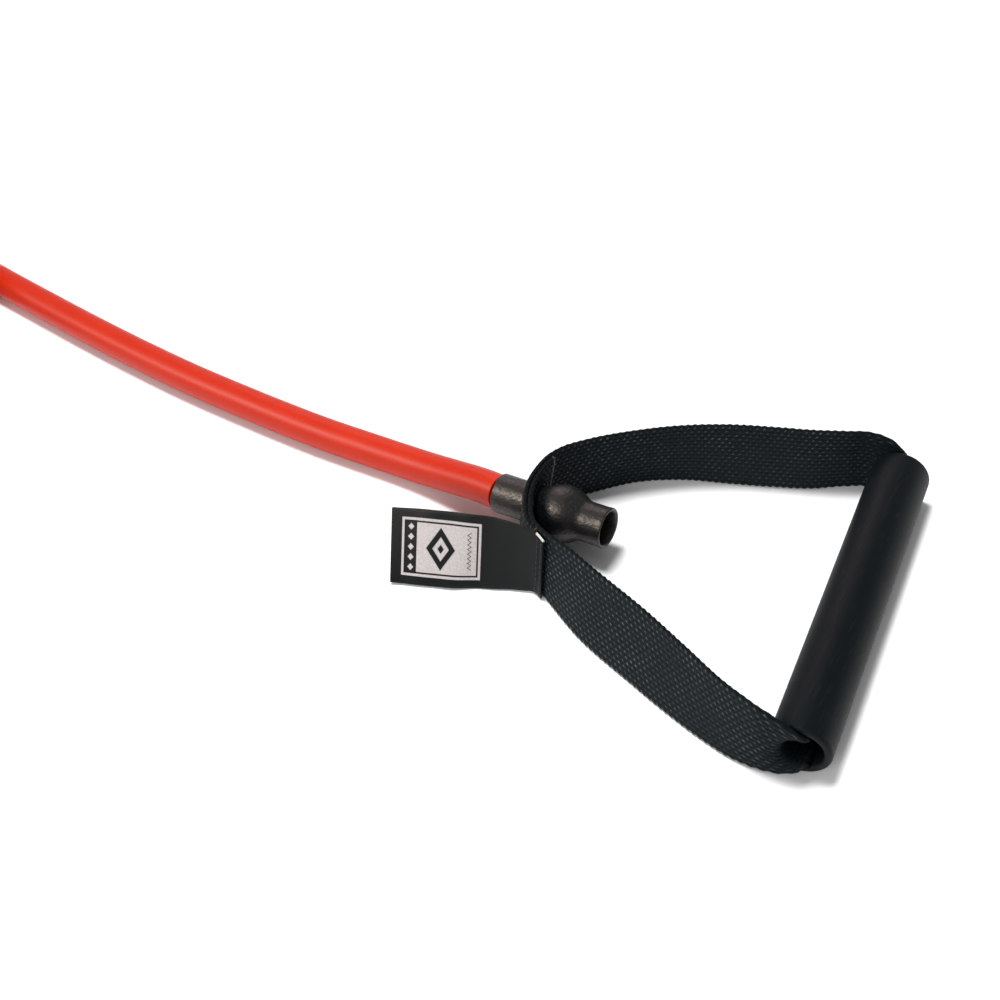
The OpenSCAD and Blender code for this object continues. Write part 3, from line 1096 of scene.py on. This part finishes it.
def tack_stitches(middle):
    """A zigzag of stitches across the strap, each from one side of the row to the other."""
    rows = [(k - TACK_COUNT / 2) * TACK_PITCH for k in range(TACK_COUNT)]
    sides = [middle + TACK_REACH, middle - TACK_REACH]
    return [
        ((sides[k % 2], row), (sides[1 - k % 2], row + TACK_PITCH))
        for k, row in enumerate(rows)
    ]


hem = sewn("label_stitching_thread", hem_stitches(), ribbon.lay, LABEL_T / 2 + THREAD_RISE)
join_at_seam(hem)
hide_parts("label_stitching")
print("hem stitches:", len(hem_stitches()))


def make_bar_tacks(side):
    stitches = tack_stitches(INNER_HOLE - TACK_BACK) + tack_stitches(INNER_HOLE + TACK_FRONT)
    lift = STRAP_T / 2 + CROWN / 2
    piece = sewn(f"{side}_bar_tack_threads", stitches, lambda flat: strap_route.lay(cut_aslant(flat)), lift)
    piece.data.transform(LOOP_PLACE[side])
    join_at_eye(piece)
    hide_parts(f"{side}_bar_tacks")
    return piece


for side in LOOP_PLACE:
    print(make_bar_tacks(side).name, "made")

# %% [markdown]
# ## The coil tie
# The coil is held by a strap of hook and loop tape. Its middle line is a rounded slot round the
# stacked turns, with a tail that laps over the outside. The flat tape is laid along that slot, and
# across its width it follows the coil's own curve, so it sits flush on the tubes.

# %% Coil tie
TIE_W = 16 * MM
TIE_T = 1 * MM
TIE_ANGLE = math.radians(95)
TIE_LAP = 24 * MM
TIE_CELLS = (170, 16)
LAP_STEPS = (0.0, 0.3, 0.65, 1.0)


def slot_line():
    """Points (outward from the coil's middle line, height) round the stacked turns, ending in the lap."""
    low, high = COIL_LOW, COIL_LOW + 2 * TUBE_D
    r = TUBE_R + TIE_T / 2
    arc = np.radians(np.linspace(0, 180, 25))
    top = [(r * math.cos(a), high + r * math.sin(a)) for a in arc]
    bottom = [(-r * math.cos(a), low - r * math.sin(a)) for a in arc]
    rise = [(r, z) for z in np.linspace(low, high, 12)[1:-1]]
    fall = [(-r, z) for z in np.linspace(high, low, 12)[1:-1]]
    lap = [(r + TIE_T * (0.6 + 0.5 * k), low + TIE_LAP * (k + 0.12)) for k in LAP_STEPS]
    return np.array([(r, low)] + rise + top + fall + bottom + lap)


def lay_tie(flat, line):
    s, w, out = flat.T
    along = np.concatenate([[0], np.cumsum(np.linalg.norm(np.diff(line, axis=0), axis=1))])
    heading = np.gradient(line, along, axis=0)
    x, z = (np.interp(s, along, c) for c in line.T)
    nx, nz = np.interp(s, along, heading[:, 1]), np.interp(s, along, -heading[:, 0])
    size = np.hypot(nx, nz)
    ring = COIL_R + x + out * nx / size
    angle = TIE_ANGLE + w / COIL_R
    place = np.stack([ring * np.cos(angle), ring * np.sin(angle), z + out * nz / size], 1)
    return place + np.array(COIL_MIDDLE)


def hook_and_loop():
    finish = Finish("hook_and_loop_tape", IOR=1.5, Specular_IOR_Level=0.25)
    fuzz = finish.noise(0.0006, 4, rough=0.8)
    worn = finish.noise(0.006, 2)
    black = finish.mix(fuzz, colour(8, 11, 13), colour(44, 47, 50))
    black = finish.mix(worn * 0.3, black, colour(58, 58, 60))
    return finish.feed(Base_Color=black, Roughness=0.85 - fuzz * 0.15, Normal=finish.bump(fuzz, 0.0005, 0.9))


def make_tie():
    line = slot_line()
    length = np.linalg.norm(np.diff(line, axis=0), axis=1).sum()
    bm = flat_sheet(length, TIE_W, TIE_T, TIE_CELLS)
    piece = piece_from(bm, "coil_tie_tape", hook_and_loop(), sharp=50)
    flat = points_of(piece.data)
    keep_flat_map(piece.data, flat)
    flat[:, 1] -= TIE_W / 2
    flat[:, 2] -= flat[:, 2].mean()
    set_points(piece.data, lay_tie(flat, line))
    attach(piece, "tube")
    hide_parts("coil_tie")
    return piece


tie = make_tie()
print("tie", [round(v, 4) for v in tie.dimensions])

# %% [markdown]
# ## Pieces kept from the frame
# The plug balls and the stretched ends of the tube are hidden in the sleeves. Their CAD shapes are
# right, so they stay and only get a finish: hard ivory plastic, and the tube's own rubber.

# %% Finishes for the kept pieces
def ball_plastic():
    finish = Finish("ball_plastic", IOR=1.46, Specular_IOR_Level=0.5)
    swirl = finish.noise(0.004, 3)
    ivory = finish.mix(swirl, colour(214, 208, 192), colour(232, 228, 216))
    return finish.feed(Base_Color=ivory, Roughness=0.28 + swirl * 0.12, Normal=finish.bump(swirl, 0.00005))


def refinish(node, material):
    mesh = frame["nodes"][node].data
    mesh.materials.clear()
    mesh.materials.append(material)


BALL = ball_plastic()
for side in EYE_PLACE:
    refinish(f"{side}_plug_ball", BALL)
    refinish(f"{side}_tube_end", tube.data.materials[0])
print("kept pieces:", [n for n, o in frame["nodes"].items() if not o.hide_render])

# %% [markdown]
# ## What the soft pieces are
# The tube is a free cord about forty-eight inches long, most of it coiled. The label is a sheet cut
# to its own length and width.

print("declared:", tube.name, label.name)

# %% Hand over to the frame
bpy.context.view_layer.update()
